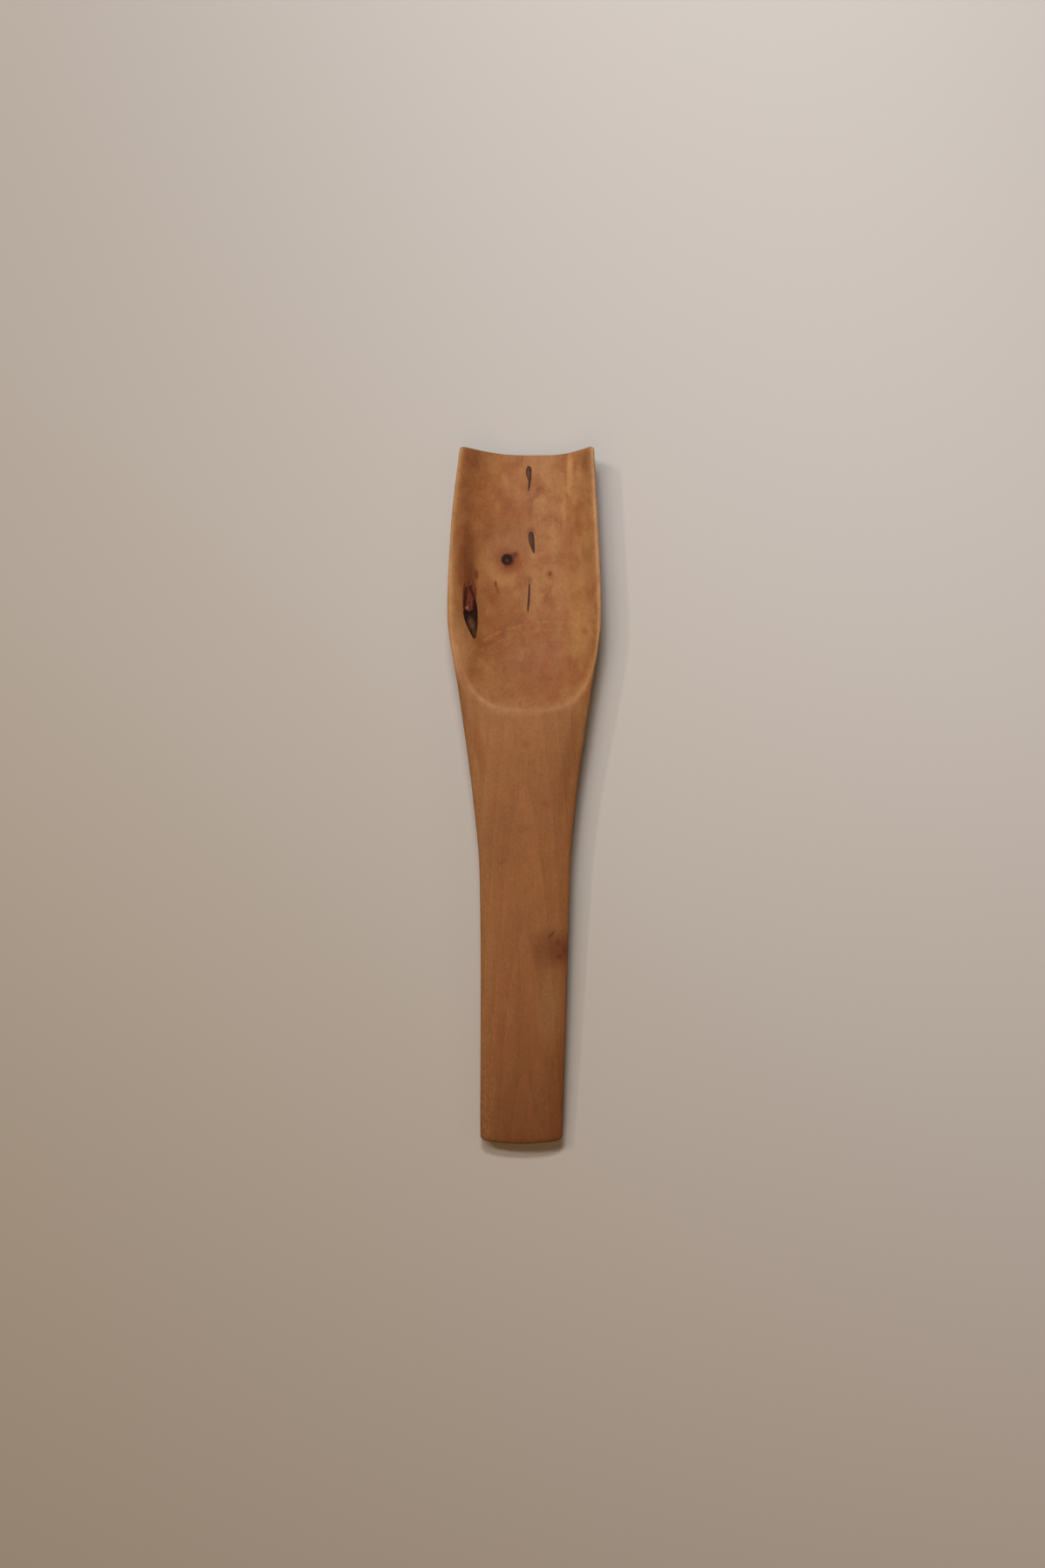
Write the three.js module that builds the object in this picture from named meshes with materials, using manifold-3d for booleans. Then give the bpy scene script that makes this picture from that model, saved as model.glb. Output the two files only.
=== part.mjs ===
// A hand-carved wooden scoop spoon: one carved body of branch wood, open at the front, with the
// knots, bark and pith that the tree enclosed seated in it as pieces of their own.
// Millimetres. +Y runs along the spoon to its open front, +X to its right and +Z up from the table.

import * as THREE from 'three';
import { mergeVertices } from 'three/addons/utils/BufferGeometryUtils.js';
import Module from 'manifold-3d';

// Lengths between the stations of the outline, from the front edge back to the handle's end
const FRONT_TO_MOUTH = 20.6;
const MOUTH_TO_BELLY = 22;
const BELLY_TO_SHOULDER = 21;
const SHOULDER_TO_NECK = 27;
const NECK_TO_WAIST = 19;
const WAIST_TO_END = 71.2;

// Widths of the outline at the stations
const FRONT_WIDTH = 34.6;
const MOUTH_WIDTH = 38;
const BELLY_WIDTH = 39.8;
const SHOULDER_WIDTH = 34.2;
const NECK_WIDTH = 26.8;
const WAIST_WIDTH = 23.5;
const END_WIDTH = 21.4;

// How far the hand-carved outline drifts to the right of the belly's middle
const FRONT_DRIFT = 0.65;
const MOUTH_DRIFT = 0.05;
const SHOULDER_DRIFT = 0.15;
const NECK_DRIFT = 0.05;
const WAIST_DRIFT = 0.1;
const END_DRIFT = -0.8;

// Height of the rim and of the handle's ridge above the table
const FRONT_RIM_HEIGHT = 11.8;
const BELLY_RIM_HEIGHT = 12.2;
const SHOULDER_HEIGHT = 12.2;
const NECK_HEIGHT = 11;
const WAIST_HEIGHT = 10.1;
const END_HEIGHT = 6.5;

// Thickness of the wood: the front lip, the bowl's floor, and the handle along its ridge
const LIP_THICKNESS = 1.8;
const FLOOR_THICKNESS = 4.6;
const SHOULDER_THICKNESS = 10.4;
const NECK_THICKNESS = 7;
const WAIST_THICKNESS = 6.1;
const END_THICKNESS = 7.1;

// Sanding: the flat that the bowl rests on, the rim's round, the corners of the end, and how deep the
// front edge bows in and between which offsets it is deepest
const REST_TRIM = 0.5;
const RIM_ROUND = 1.6;
const END_ROUND = 1.5;
const END_SOFTNESS = 0.5;
const FRONT_BOW = 1.4;
const BOW_LEFT = -1;
const BOW_RIGHT = 7;

// The gouged hollow: widths of its rims, offset of its floor, and the ramp at its rear
const LEFT_RIM_MOUTH_WIDTH = 0.8;
const LEFT_RIM_BELLY_WIDTH = 2.2;
const RIGHT_RIM_WIDTH = 0.6;
const FLOOR_OFFSET = 1;
const HOLLOW_LENGTH = 68.2;
const RAMP_LENGTH = 19.6;

// Powers of the section curves: 2 is an ellipse or a parabola, and more is flatter with tighter edges
const HANDLE_CROWN = 2.5;
const BOWL_CROWN = 5;
const HANDLE_KEEL = 3;
const BOWL_KEEL = 2.1;
const FRONT_WALL_POWER = 3;
const BELLY_WALL_POWER = 3.2;
const RAMP_POWER = 2;

// How far below the top the handle is widest, as a share of its thickness
const HANDLE_EDGE = 0.3;

// Gap between each inclusion and its seat, and how far its raw plug stands proud before it is carved flush
const SEAT_GAP = 0.3;
const PLUG_PROUD = 1.4;

// Round knot in the floor, and the wood that is left under it
const ROUND_KNOT_FROM_FRONT = 28.6;
const ROUND_KNOT_OFFSET = -4.6;
const ROUND_KNOT_DIAMETER = 3;
const ROUND_KNOT_SKIN = 1.3;
const ROUND_KNOT_TAPER = 0.08;

// Dead knot on the left wall, and the pocket of bark in front of it
const DEAD_KNOT_FROM_FRONT = 44.6;
const DEAD_KNOT_FROM_RIM = 3.8;
const DEAD_KNOT_WIDTH = 5;
const DEAD_KNOT_LENGTH = 8.6;
const DEAD_KNOT_DEPTH = 2.2;
const DEAD_KNOT_TAPER = 0.1;
const BARK_FROM_FRONT = 37.5;
const BARK_FROM_RIM = 3.3;
const BARK_WIDTH = 4.6;
const BARK_LENGTH = 8;
const BARK_DEPTH = 1.4;

// Streaks of pith along the floor
const PITH_DEPTH = 1.2;
const FRONT_PITH_FROM_FRONT = 7.2;
const FRONT_PITH_OFFSET = 1.1;
const FRONT_PITH_WIDTH = 1.6;
const FRONT_PITH_LENGTH = 6.4;
const MIDDLE_PITH_FROM_FRONT = 24.3;
const MIDDLE_PITH_OFFSET = 1.7;
const MIDDLE_PITH_WIDTH = 1.8;
const MIDDLE_PITH_LENGTH = 5.8;
const MIDDLE_PITH_SLANT = 10;
const REAR_PITH_FROM_FRONT = 39;
const REAR_PITH_OFFSET = 1;
const REAR_PITH_WIDTH = 0.8;
const REAR_PITH_LENGTH = 8.5;

// Pin knots either side of the pith
const PIN_KNOT_DIAMETER = 1.2;
const PIN_KNOT_DEPTH = 1.2;
const LEFT_PIN_FROM_FRONT = 35.1;
const LEFT_PIN_OFFSET = -7.5;
const RIGHT_PIN_FROM_FRONT = 32.2;
const RIGHT_PIN_OFFSET = 6.5;

// Spike knot that enters the handle from its right edge
const HANDLE_KNOT_FROM_END = 50.8;
const HANDLE_KNOT_LENGTH = 8.8;
const HANDLE_KNOT_HEIGHT = 5.6;
const HANDLE_KNOT_DEPTH = 9;
const HANDLE_KNOT_TAPER = 0.085;
const HANDLE_KNOT_SINK = 2.2;
const HANDLE_KNOT_DIP = 10;

// Fineness of the surfaces
const RING_STEP = 5;
const RING_POINTS = 48;
const END_RINGS = 4;
const HOLLOW_COLUMNS = 26;
const PLUG_SIDES = 18;

// How far cutting tools reach past what they cut, and the step that measures the hollow's slope
const TOOL_REACH = 6;
const HOLLOW_OVERSHOOT = 1.25;
const SLOPE_STEP = 0.5;

const WOOD = { color: 0xa06a40, roughness: 0.62, metalness: 0 };
const DEAD_WOOD = { color: 0x33231b, roughness: 0.75, metalness: 0 };
const BARK = { color: 0x5c2d1c, roughness: 0.85, metalness: 0 };
const PITH = { color: 0x4f3328, roughness: 0.8, metalness: 0 };
const LIVE_KNOT = { color: 0x673a22, roughness: 0.65, metalness: 0 };

const wasm = await Module();
wasm.setup();

// Distances of the stations behind the front edge
const mouth = FRONT_TO_MOUTH;
const belly = mouth + MOUTH_TO_BELLY;
const shoulder = belly + BELLY_TO_SHOULDER;
const neck = shoulder + SHOULDER_TO_NECK;
const waist = neck + NECK_TO_WAIST;
const end = waist + WAIST_TO_END;
const frontY = end / 2;

// A smooth curve through values at rising positions, which never swings past them
function throughStations(positions, values) {
  const secants = positions.slice(1).map((p, i) => (values[i + 1] - values[i]) / (p - positions[i]));
  const slopes = positions.map((_, i) => {
    const before = secants[Math.max(i - 1, 0)];
    const after = secants[Math.min(i, secants.length - 1)];
    return before * after > 0 ? (2 * before * after) / (before + after) : 0;
  });
  return (position) => {
    const at = THREE.MathUtils.clamp(position, positions[0], positions.at(-1));
    const next = positions.findIndex((p, i) => i > 0 && at <= p);
    const span = positions[next] - positions[next - 1];
    const t = (at - positions[next - 1]) / span;
    const rise = span * t * (1 - t) * (slopes[next - 1] * (1 - t) - slopes[next] * t);
    return THREE.MathUtils.lerp(values[next - 1], values[next], t * t * (3 - 2 * t)) + rise;
  };
}

const outlineWidth = throughStations(
  [0, mouth, belly, shoulder, neck, waist, end],
  [FRONT_WIDTH, MOUTH_WIDTH, BELLY_WIDTH, SHOULDER_WIDTH, NECK_WIDTH, WAIST_WIDTH, END_WIDTH],
);
const outlineDrift = throughStations(
  [0, mouth, belly, shoulder, neck, waist, end],
  [FRONT_DRIFT, MOUTH_DRIFT, 0, SHOULDER_DRIFT, NECK_DRIFT, WAIST_DRIFT, END_DRIFT],
);
const ridgeHeight = throughStations(
  [0, belly, shoulder, neck, waist, end],
  [FRONT_RIM_HEIGHT, BELLY_RIM_HEIGHT, SHOULDER_HEIGHT, NECK_HEIGHT, WAIST_HEIGHT, END_HEIGHT],
);
const keelHeight = throughStations(
  [0, mouth, belly, shoulder, neck, waist, end],
  [
    FLOOR_THICKNESS - LIP_THICKNESS,
    -REST_TRIM,
    -REST_TRIM,
    SHOULDER_HEIGHT - SHOULDER_THICKNESS,
    NECK_HEIGHT - NECK_THICKNESS,
    WAIST_HEIGHT - WAIST_THICKNESS,
    END_HEIGHT - END_THICKNESS,
  ],
);
const bowlShare = throughStations([0, belly, neck, end], [1, 1, 0, 0]);
const frontBow = throughStations(
  [FRONT_DRIFT - FRONT_WIDTH / 2, BOW_LEFT, BOW_RIGHT, FRONT_DRIFT + FRONT_WIDTH / 2],
  [0, FRONT_BOW, FRONT_BOW, 0],
);

const leftEdge = (back) => outlineDrift(back) - outlineWidth(back) / 2;
const rightEdge = (back) => outlineDrift(back) + outlineWidth(back) / 2;

// Height of the hollow's surface, as if the gouge went on past the wood
const hollowEdge = (back) => Math.min(back, belly);
const floorMiddle = (back) => outlineDrift(hollowEdge(back)) + FLOOR_OFFSET;
const leftRimWidth = throughStations([mouth, belly], [LEFT_RIM_MOUTH_WIDTH, LEFT_RIM_BELLY_WIDTH]);
const leftRim = (back) => leftEdge(hollowEdge(back)) + leftRimWidth(back);
const rightRim = (back) => rightEdge(hollowEdge(back)) - RIGHT_RIM_WIDTH;
const wallPower = throughStations([0, belly, end], [FRONT_WALL_POWER, BELLY_WALL_POWER, BELLY_WALL_POWER]);

function hollowHeight(x, back) {
  const middle = floorMiddle(back);
  const reach = x > middle ? rightRim(back) - middle : leftRim(back) - middle;
  const wall = ((x - middle) / reach) ** wallPower(back);
  const ramp = Math.max(0, 1 - (HOLLOW_LENGTH - back) / RAMP_LENGTH) ** RAMP_POWER;
  return FLOOR_THICKNESS + (ridgeHeight(back) - FLOOR_THICKNESS) * (wall + ramp);
}

// A closed skin over rings of equally many points, with convex ends
function loft(rings) {
  const count = rings[0].length;
  const indices = [];
  for (let r = 0; r + 1 < rings.length; r += 1) {
    for (let i = 0; i < count; i += 1) {
      const near = r * count + i;
      const nearNext = r * count + ((i + 1) % count);
      indices.push(near, nearNext, near + count, nearNext, nearNext + count, near + count);
    }
  }
  const last = (rings.length - 1) * count;
  for (let i = 1; i + 1 < count; i += 1) {
    indices.push(0, i + 1, i, last, last + i, last + i + 1);
  }
  const geometry = new THREE.BufferGeometry().setFromPoints(rings.flat());
  geometry.setIndex(indices);
  return geometry;
}

// A three.js geometry as a solid that can be joined and cut, and back again
function solid(geometry) {
  const bare = geometry.clone();
  bare.deleteAttribute('normal');
  bare.deleteAttribute('uv');
  const merged = mergeVertices(bare);
  return new wasm.Manifold(new wasm.Mesh({
    numProp: 3,
    vertProperties: new Float32Array(merged.attributes.position.array),
    triVerts: new Uint32Array(merged.index.array),
  }));
}

function namedMesh(name, shape, finish) {
  const { vertProperties, triVerts, numProp } = shape.getMesh();
  const geometry = new THREE.BufferGeometry();
  geometry.setAttribute('position', new THREE.BufferAttribute(vertProperties, numProp));
  geometry.setIndex(new THREE.BufferAttribute(triVerts, 1));
  geometry.computeVertexNormals();
  const mesh = new THREE.Mesh(geometry, new THREE.MeshStandardMaterial(finish));
  mesh.name = name;
  return mesh;
}

// One cross-section of the uncut spoon: a crowned top over a rounded keel, drawn in by a soft inset
function bodyRing(back, inset) {
  const halfWidth = outlineWidth(back) / 2 - inset;
  const top = ridgeHeight(back) - inset * END_SOFTNESS;
  const bottom = keelHeight(back) + inset * END_SOFTNESS;
  const share = bowlShare(back);
  const edge = top - THREE.MathUtils.lerp((top - bottom) * HANDLE_EDGE, RIM_ROUND, share);
  const crown = THREE.MathUtils.lerp(HANDLE_CROWN, BOWL_CROWN, share);
  const keel = THREE.MathUtils.lerp(HANDLE_KEEL, BOWL_KEEL, share);
  const ring = [];
  for (let i = 0; i < RING_POINTS; i += 1) {
    const angle = (2 * Math.PI * i) / RING_POINTS;
    const up = Math.sin(angle);
    const power = 2 / (up >= 0 ? crown : keel);
    const across = Math.sign(Math.cos(angle)) * Math.abs(Math.cos(angle)) ** power;
    const lift = Math.abs(up) ** power;
    const z = up >= 0 ? edge + (top - edge) * lift : edge - (edge - bottom) * lift;
    ring.push(new THREE.Vector3(outlineDrift(back) + halfWidth * across, frontY - back, z));
  }
  return ring;
}

// Even steps between the stations, so that every station is a ring
function ringPositions(stations) {
  const positions = [stations[0]];
  for (let i = 1; i < stations.length; i += 1) {
    const span = stations[i] - stations[i - 1];
    const steps = Math.ceil(span / RING_STEP);
    for (let s = 1; s <= steps; s += 1) {
      positions.push(stations[i - 1] + (span * s) / steps);
    }
  }
  return positions;
}

function uncutSpoon() {
  const roundStart = end - END_ROUND;
  const rings = ringPositions([-TOOL_REACH, 0, mouth, belly, shoulder, neck, waist, roundStart])
    .map((back) => bodyRing(back, 0));
  for (let r = 1; r <= END_RINGS; r += 1) {
    const turn = (Math.PI / 2) * (r / END_RINGS);
    rings.push(bodyRing(roundStart + END_ROUND * Math.sin(turn), END_ROUND * (1 - Math.cos(turn))));
  }
  return solid(loft(rings));
}

// The space that the gouge clears: everything above the hollow's surface
function hollowTool() {
  const rampStart = HOLLOW_LENGTH - RAMP_LENGTH;
  const rampEnd = rampStart + RAMP_LENGTH * HOLLOW_OVERSHOOT;
  const positions = ringPositions([-2 * TOOL_REACH, 0, mouth, belly, rampStart, rampEnd]);
  const highest = hollowHeight(rightRim(belly) + TOOL_REACH, rampEnd) + TOOL_REACH;
  const rings = positions.map((back) => {
    const middle = floorMiddle(back);
    const left = middle + (leftRim(back) - middle) * HOLLOW_OVERSHOOT;
    const right = middle + (rightRim(back) - middle) * HOLLOW_OVERSHOOT;
    const y = frontY - back;
    const ring = [new THREE.Vector3(right, y, highest), new THREE.Vector3(left, y, highest)];
    for (let i = 0; i <= HOLLOW_COLUMNS; i += 1) {
      const x = THREE.MathUtils.lerp(left, right, i / HOLLOW_COLUMNS);
      ring.push(new THREE.Vector3(x, y, hollowHeight(x, back)));
    }
    return ring;
  });
  return solid(loft(rings));
}

// The waste in front of the bowed edge
function frontTool() {
  const side = BELLY_WIDTH / 2 + TOOL_REACH;
  const beyond = frontY + 2 * TOOL_REACH;
  const outline = [new THREE.Vector2(side, beyond), new THREE.Vector2(-side, beyond)];
  outline.push(new THREE.Vector2(-side, frontY));
  for (let i = 0; i <= HOLLOW_COLUMNS; i += 1) {
    const x = THREE.MathUtils.lerp(leftEdge(0), rightEdge(0), i / HOLLOW_COLUMNS);
    outline.push(new THREE.Vector2(x, frontY - frontBow(x)));
  }
  outline.push(new THREE.Vector2(side, frontY));
  const depth = BELLY_RIM_HEIGHT + 2 * TOOL_REACH;
  const block = new THREE.ExtrudeGeometry(new THREE.Shape(outline), { depth, bevelEnabled: false });
  block.translate(0, 0, -TOOL_REACH);
  return solid(block);
}

// The block of waste below the table's plane
function tableTool() {
  const width = BELLY_WIDTH + 2 * TOOL_REACH;
  const length = end + 2 * TOOL_REACH;
  const slab = new THREE.BoxGeometry(width, length, TOOL_REACH);
  slab.translate(0, 0, -TOOL_REACH / 2);
  return solid(slab);
}

// Where an inclusion sits: its point on the wood, facing out of the wood, turned about that direction
function seat(point, outward, slant = 0) {
  const along = new THREE.Vector3(0, 1, 0).projectOnPlane(outward).normalize();
  const across = new THREE.Vector3().crossVectors(along, outward);
  const place = new THREE.Matrix4().makeBasis(across, along, outward).setPosition(point);
  return place.multiply(new THREE.Matrix4().makeRotationZ(THREE.MathUtils.degToRad(slant)));
}

// A seat on the hollow's surface, square to it, at an offset from the spoon's middle line
function hollowSeat(x, fromFront, slant) {
  const riseAcross = hollowHeight(x + SLOPE_STEP, fromFront) - hollowHeight(x - SLOPE_STEP, fromFront);
  const riseAlong = hollowHeight(x, fromFront - SLOPE_STEP) - hollowHeight(x, fromFront + SLOPE_STEP);
  const outward = new THREE.Vector3(-riseAcross, -riseAlong, 2 * SLOPE_STEP).normalize();
  return seat(new THREE.Vector3(x, frontY - fromFront, hollowHeight(x, fromFront)), outward, slant);
}

// A tapering oval plug with its widest stretch at the wood's surface, grown all round by a gap
function plug(inclusion, gap) {
  const { width, length, depth, taper, place } = inclusion;
  const reach = depth + gap;
  const upper = 1 + taper * PLUG_PROUD;
  const lower = 1 - taper * depth;
  const geometry = new THREE.CylinderGeometry(upper, lower, reach + PLUG_PROUD, PLUG_SIDES);
  geometry.translate(0, (PLUG_PROUD - reach) / 2, 0);
  geometry.rotateX(Math.PI / 2);
  geometry.scale(width / 2 + gap, length / 2 + gap, 1);
  geometry.applyMatrix4(place);
  return solid(geometry);
}

const roundKnot = {
  name: 'round_knot',
  finish: DEAD_WOOD,
  width: ROUND_KNOT_DIAMETER,
  length: ROUND_KNOT_DIAMETER,
  depth: FLOOR_THICKNESS - ROUND_KNOT_SKIN - SEAT_GAP,
  taper: ROUND_KNOT_TAPER,
  place: hollowSeat(ROUND_KNOT_OFFSET, ROUND_KNOT_FROM_FRONT),
};

const deadKnot = {
  name: 'dead_knot',
  finish: DEAD_WOOD,
  width: DEAD_KNOT_WIDTH,
  length: DEAD_KNOT_LENGTH,
  depth: DEAD_KNOT_DEPTH,
  taper: DEAD_KNOT_TAPER,
  place: hollowSeat(leftRim(DEAD_KNOT_FROM_FRONT) + DEAD_KNOT_FROM_RIM, DEAD_KNOT_FROM_FRONT),
};

const barkPocket = {
  name: 'bark_pocket',
  finish: BARK,
  width: BARK_WIDTH,
  length: BARK_LENGTH,
  depth: BARK_DEPTH,
  taper: 0,
  place: hollowSeat(leftRim(BARK_FROM_FRONT) + BARK_FROM_RIM, BARK_FROM_FRONT),
};

const pithStreak = (name, width, length, place) => (
  { name, finish: PITH, width, length, depth: PITH_DEPTH, taper: 0, place }
);
const pithStreaks = [
  pithStreak('front_pith', FRONT_PITH_WIDTH, FRONT_PITH_LENGTH,
    hollowSeat(FRONT_PITH_OFFSET, FRONT_PITH_FROM_FRONT)),
  pithStreak('middle_pith', MIDDLE_PITH_WIDTH, MIDDLE_PITH_LENGTH,
    hollowSeat(MIDDLE_PITH_OFFSET, MIDDLE_PITH_FROM_FRONT, MIDDLE_PITH_SLANT)),
  pithStreak('rear_pith', REAR_PITH_WIDTH, REAR_PITH_LENGTH,
    hollowSeat(REAR_PITH_OFFSET, REAR_PITH_FROM_FRONT)),
];

const pinKnot = (name, place) => ({
  name,
  finish: LIVE_KNOT,
  width: PIN_KNOT_DIAMETER,
  length: PIN_KNOT_DIAMETER,
  depth: PIN_KNOT_DEPTH,
  taper: 0,
  place,
});
const pinKnots = [
  pinKnot('left_pin_knot', hollowSeat(LEFT_PIN_OFFSET, LEFT_PIN_FROM_FRONT)),
  pinKnot('right_pin_knot', hollowSeat(RIGHT_PIN_OFFSET, RIGHT_PIN_FROM_FRONT)),
];

// The spike knot's thick end faces out of the right edge and dips, so that its tip lies near the top
const knotBack = end - HANDLE_KNOT_FROM_END;
const knotDip = THREE.MathUtils.degToRad(HANDLE_KNOT_DIP);
const handleKnot = {
  name: 'handle_knot',
  finish: LIVE_KNOT,
  width: HANDLE_KNOT_HEIGHT,
  length: HANDLE_KNOT_LENGTH,
  depth: HANDLE_KNOT_DEPTH,
  taper: HANDLE_KNOT_TAPER,
  place: seat(
    new THREE.Vector3(rightEdge(knotBack), frontY - knotBack, ridgeHeight(knotBack) - HANDLE_KNOT_SINK),
    new THREE.Vector3(Math.cos(knotDip), 0, -Math.sin(knotDip)),
  ),
};

const inclusions = [roundKnot, deadKnot, barkPocket, ...pithStreaks, ...pinKnots, handleKnot];

// Each inclusion is carved flush with the spoon, and gives way to the seats of those before it
const spoon = new THREE.Group();
let body = uncutSpoon().subtract(frontTool()).subtract(tableTool()).subtract(hollowTool());
for (const inclusion of inclusions) {
  const piece = plug(inclusion, 0).intersect(body);
  body = body.subtract(plug(inclusion, SEAT_GAP));
  spoon.add(namedMesh(inclusion.name, piece, inclusion.finish));
}
spoon.add(namedMesh('spoon_body', body, WOOD));

export default spoon;
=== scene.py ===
import math

import bpy
import numpy as np
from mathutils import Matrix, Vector, noise


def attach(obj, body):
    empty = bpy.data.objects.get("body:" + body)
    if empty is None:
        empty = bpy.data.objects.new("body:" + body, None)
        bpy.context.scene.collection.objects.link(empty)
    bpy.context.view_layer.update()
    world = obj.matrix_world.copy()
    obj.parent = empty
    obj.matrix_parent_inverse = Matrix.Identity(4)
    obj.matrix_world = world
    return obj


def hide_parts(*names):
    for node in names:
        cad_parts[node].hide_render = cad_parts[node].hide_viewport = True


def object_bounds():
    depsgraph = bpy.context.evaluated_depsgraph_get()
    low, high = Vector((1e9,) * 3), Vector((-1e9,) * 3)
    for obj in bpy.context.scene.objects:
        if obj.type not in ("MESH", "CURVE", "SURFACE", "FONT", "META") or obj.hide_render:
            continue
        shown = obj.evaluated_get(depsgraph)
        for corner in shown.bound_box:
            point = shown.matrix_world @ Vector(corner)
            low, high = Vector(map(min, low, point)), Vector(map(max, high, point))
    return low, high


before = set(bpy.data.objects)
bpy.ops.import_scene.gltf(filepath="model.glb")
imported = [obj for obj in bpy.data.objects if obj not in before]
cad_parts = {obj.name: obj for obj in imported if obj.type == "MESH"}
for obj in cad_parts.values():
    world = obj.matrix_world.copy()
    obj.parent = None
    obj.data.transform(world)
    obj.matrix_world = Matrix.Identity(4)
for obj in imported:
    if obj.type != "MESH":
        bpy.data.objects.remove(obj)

cad_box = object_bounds()
bpy.ops.object.select_all(action="DESELECT")

# The carved body: bowl and handle in one length of fine-grained branch wood, roughed out with an
# axe, hollowed with a gouge and sanded round at every edge, with a seat for each other piece. A
# grid is wrapped round the sections of the carver's outline, since no primitive has this form.
MM = 0.001
STATIONS = np.array([0, 20.6, 42.6, 63.6, 90.6, 109.6, 180.8]) * MM
FRONT, MOUTH, BELLY, SHOULDER, NECK, WAIST, END = STATIONS
WIDTHS = np.array([34.6, 38, 39.8, 34.2, 26.8, 23.5, 21.4]) * MM
DRIFTS = np.array([0.65, 0.05, 0, 0.15, 0.05, 0.1, -0.8]) * MM
RIDGE_HEIGHTS = np.array([11.8, 12.2, 12.2, 11, 10.1, 6.5]) * MM
KEEL_HEIGHTS = np.array([2.8, -0.5, -0.5, 1.8, 4, 4, -0.6]) * MM
FLOOR_THICKNESS = 4.6 * MM
LEFT_RIM_MOUTH_WIDTH = 0.8 * MM
LEFT_RIM_BELLY_WIDTH = 2.2 * MM
RIGHT_RIM_WIDTH = 0.6 * MM
FLOOR_OFFSET = 1 * MM
HOLLOW_LENGTH = 68.2 * MM
RAMP_LENGTH = 19.6 * MM
RIM_ROUND = 1.6 * MM
FRONT_BOW = 1.4 * MM
BOW_LEFT = -1 * MM
BOW_RIGHT = 7 * MM
END_BOW = 0.6 * MM
END_ROUND = 1.5 * MM
END_SOFTNESS = 0.5
LIP_ROUND = 0.6 * MM
CORNER_ROUND = 0.8 * MM
LEFT_RIM_SOFTNESS = 3.2 * MM
RIGHT_RIM_SOFTNESS = 0.7 * MM
REAR_SOFTNESS = 0.9 * MM
REST_SOFTNESS = 0.2 * MM
# Sizes of the pale band of wear and painted highlight on the rims and the rear of the hollow
WORN_HEIGHT = 0.5 * MM
WORN_RIM = 1.1 * MM
WORN_BELLY = 1.4 * MM
LEFT_WEAR_AND_HIGHLIGHT, RIGHT_WEAR_AND_HIGHLIGHT = 0.74, 1.15
WORN_FLANK = 2.5 * MM
WORN_FROM_FRONT = 48 * MM
WORN_LENGTH = 14 * MM
REAR_WEAR_PLACES = np.array([-16, -12, -8, -3, 6, 10, 14, 17]) * MM
REAR_WEAR_AND_HIGHLIGHT = [0.35, 0.7, 0.45, 0.22, 0.22, 0.25, 0.5, 0.6]
REAR_WEAR_INWARD = 0.4 * MM
REAR_WEAR_SPREAD = 1.5
WORN_LEAST_HEIGHT = 8 * MM
HAND_WAVER = 0.06 * MM
WAVER_LENGTH = 9 * MM
HANDLE_CROWN, BOWL_CROWN = 2.5, 5
HANDLE_EDGE = 0.3
HANDLE_KEEL, BOWL_KEEL = 3, 2.1
FRONT_WALL_POWER, BELLY_WALL_POWER = 3, 3.2
RAMP_POWER = 2
SECTION_POINTS = 120
RING_STEP = 0.8 * MM
ROUND_RINGS = 6
SECTION_SAMPLES = 500
MERGE_REACH = 0.001 * MM
SMOOTH_ANGLE = math.radians(40)

front_y = cad_box[1][1]


def through_stations(positions, values):
    """A smooth curve through values at rising positions, which never swings past them."""
    positions = np.array(positions, float)
    values = np.array(values, float)
    secants = np.diff(values) / np.diff(positions)
    before = np.concatenate((secants[:1], secants))
    after = np.concatenate((secants, secants[-1:]))
    rising_on = before * after > 0
    slopes = np.where(rising_on, 2 * before * after / np.where(rising_on, before + after, 1), 0)

    def curve(position):
        at = np.clip(position, positions[0], positions[-1])
        near = np.clip(np.searchsorted(positions, at, side="right") - 1, 0, len(positions) - 2)
        span = positions[near + 1] - positions[near]
        t = (at - positions[near]) / span
        rise = span * t * (1 - t) * (slopes[near] * (1 - t) - slopes[near + 1] * t)
        return values[near] + (values[near + 1] - values[near]) * t * t * (3 - 2 * t) + rise

    return curve


outline_width = through_stations(STATIONS, WIDTHS)
outline_drift = through_stations(STATIONS, DRIFTS)
ridge_height = through_stations([FRONT, BELLY, SHOULDER, NECK, WAIST, END], RIDGE_HEIGHTS)
keel_height = through_stations(STATIONS, KEEL_HEIGHTS)
bowl_share = through_stations([FRONT, BELLY, NECK, END], [1, 1, 0, 0])
wall_power = through_stations([FRONT, BELLY, END],
                              [FRONT_WALL_POWER, BELLY_WALL_POWER, BELLY_WALL_POWER])
left_rim_width = through_stations([MOUTH, BELLY], [LEFT_RIM_MOUTH_WIDTH, LEFT_RIM_BELLY_WIDTH])
front_left = DRIFTS[0] - WIDTHS[0] / 2
front_right = DRIFTS[0] + WIDTHS[0] / 2
front_bow = through_stations([front_left, BOW_LEFT, BOW_RIGHT, front_right],
                             [0, FRONT_BOW, FRONT_BOW, 0])


def hollow_middle(back):
    """Where the hollow is deepest, across the spoon."""
    return outline_drift(np.minimum(back, BELLY)) + FLOOR_OFFSET


def hollow_height(x, back):
    """Height of the gouged surface, as if the gouge went on past the wood."""
    beside = np.minimum(back, BELLY)
    middle = hollow_middle(back)
    left = outline_drift(beside) - outline_width(beside) / 2 + left_rim_width(back)
    right = outline_drift(beside) + outline_width(beside) / 2 - RIGHT_RIM_WIDTH
    wall = np.where(x > middle, (x - middle) / (right - middle), (x - middle) / (left - middle))
    ramp = np.maximum(0, 1 - (HOLLOW_LENGTH - back) / RAMP_LENGTH)
    rise = np.abs(wall) ** wall_power(back) + ramp ** RAMP_POWER
    return FLOOR_THICKNESS + (ridge_height(back) - FLOOR_THICKNESS) * rise


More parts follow.
